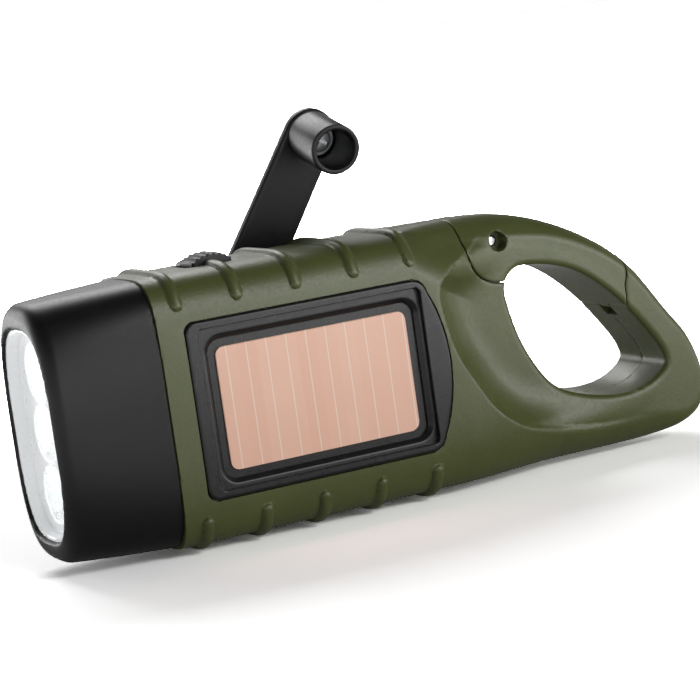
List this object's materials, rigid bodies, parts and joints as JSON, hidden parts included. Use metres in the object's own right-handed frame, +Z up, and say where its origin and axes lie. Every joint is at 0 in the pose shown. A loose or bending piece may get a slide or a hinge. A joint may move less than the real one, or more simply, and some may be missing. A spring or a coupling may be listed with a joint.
{
  "type": "hand-crank flashlight",
  "caption": "Hand-crank and solar flashlight: ribbed green body, black lamp head, folding crank on the back, solar panel in front, and a carabiner loop with a sprung gate as its tail.",
  "frame": {"origin": "middle of the crest of the middle rib on the lower narrow side, where the flashlight rests with its crank up", "axes": "+X from the lamp to the carabiner tail, +Y from the solar panel to the crank side, +Z up from the lower narrow side to the button"},
  "size_m": [0.1404, 0.0428, 0.0775],
  "materials": {
    "green_shell": "moulded olive green plastic with a fine texture",
    "black_plastic": "moulded black plastic, satin",
    "mirror_tray": "metallised plastic",
    "clear_lens": "clear moulded acrylic",
    "led_resin": "yellow phosphor under clear resin",
    "circuit_board": "green solder mask on glass fibre",
    "solar_film": "copper coloured cell film with thin white lines",
    "steel": "zinc plated steel",
    "cell_steel": "nickel plated can",
    "white_nylon": "natural nylon",
    "magnet": "plated ring magnet",
    "copper": "enamelled copper wire"
  },
  "bodies": {
    "body": {"front_housing": "green_shell", "rear_housing": "green_shell", "gate_pin": "steel", "gate_spring": "steel", "head_bezel": "black_plastic", "reflector": "mirror_tray", "led_board": "circuit_board", "board_screw_1": "steel", "board_screw_2": "steel", "panel_frame": "black_plastic", "solar_backing": "black_plastic", "solar_cell": "solar_film", "switch_body": "black_plastic", "main_board": "circuit_board", "battery_holder": "black_plastic", "battery": "cell_steel", "hub_bush": "white_nylon", "idler_pin": "steel", "gear_plate": "steel", "stator_bobbin": "white_nylon", "stator_coil": "copper", "lens_1": "clear_lens", "led_1": "led_resin", "lens_2": "clear_lens", "led_2": "led_resin", "lens_3": "clear_lens", "led_3": "led_resin", "housing_screw_1": "steel", "housing_screw_2": "steel", "housing_screw_3": "steel", "housing_screw_4": "steel", "housing_screw_5": "steel", "plate_screw_1": "steel", "plate_screw_2": "steel", "plate_screw_3": "steel", "plate_screw_4": "steel"},
    "crank": {"crank_hub": "black_plastic", "hub_screw": "steel", "drive_gear": "white_nylon", "fold_pin": "steel"},
    "arm": {"crank_arm": "black_plastic", "knob_screw": "steel", "knob_washer": "steel"},
    "knob": {"crank_knob": "black_plastic"},
    "button": {"switch_button": "black_plastic", "switch_plunger": "white_nylon"},
    "gate": {"carabiner_gate": "green_shell"},
    "idler": {"idler_gear": "white_nylon"},
    "rotor": {"rotor": "white_nylon", "rotor_magnet": "magnet"}
  },
  "joints": [
    {"name": "crank_spin", "type": "hinge", "parent": "body", "child": "crank", "pos_m": [-0.0062, 0.0167, 0.0265], "axis": [0, 1, 0], "range_deg": [-74, 10]},
    {"name": "arm_fold", "type": "hinge", "parent": "crank", "child": "arm", "pos_m": [-0.0062, 0.0237, 0.0265], "axis": [-0.8738, 0, 0.4863], "range_deg": [0, 180]},
    {"name": "knob_spin", "type": "hinge", "parent": "arm", "child": "knob", "pos_m": [0.0192, 0.01212, 0.07214], "axis": [0.1053, 0.9763, 0.1891], "continuous": true},
    {"name": "idler_spin", "type": "hinge", "parent": "body", "child": "idler", "pos_m": [0.0088, 0.0087, 0.0265], "axis": [0, 1, 0], "range_deg": [-42, 298]},
    {"name": "rotor_spin", "type": "hinge", "parent": "body", "child": "rotor", "pos_m": [0.0213, 0.002, 0.0265], "axis": [0, 1, 0], "range_deg": [-1188, 164]},
    {"name": "gate_hinge", "type": "hinge", "parent": "body", "child": "gate", "pos_m": [0.0463, 0, 0.0468], "axis": [0, 1, 0], "range_deg": [0, 32], "stiffness_Nm_per_rad": 0.2, "springref_deg": -17.19},
    {"name": "button_press", "type": "slide", "parent": "body", "child": "button", "axis": [0, 0, -1], "range_m": [0, 0.0008], "stiffness_N_per_m": 900, "springref_m": -0.001}
  ],
  "couplings": [
    {"joint": "idler_spin", "follows": "crank_spin", "ratio": -4},
    {"joint": "rotor_spin", "follows": "crank_spin", "ratio": 16}
  ]
}
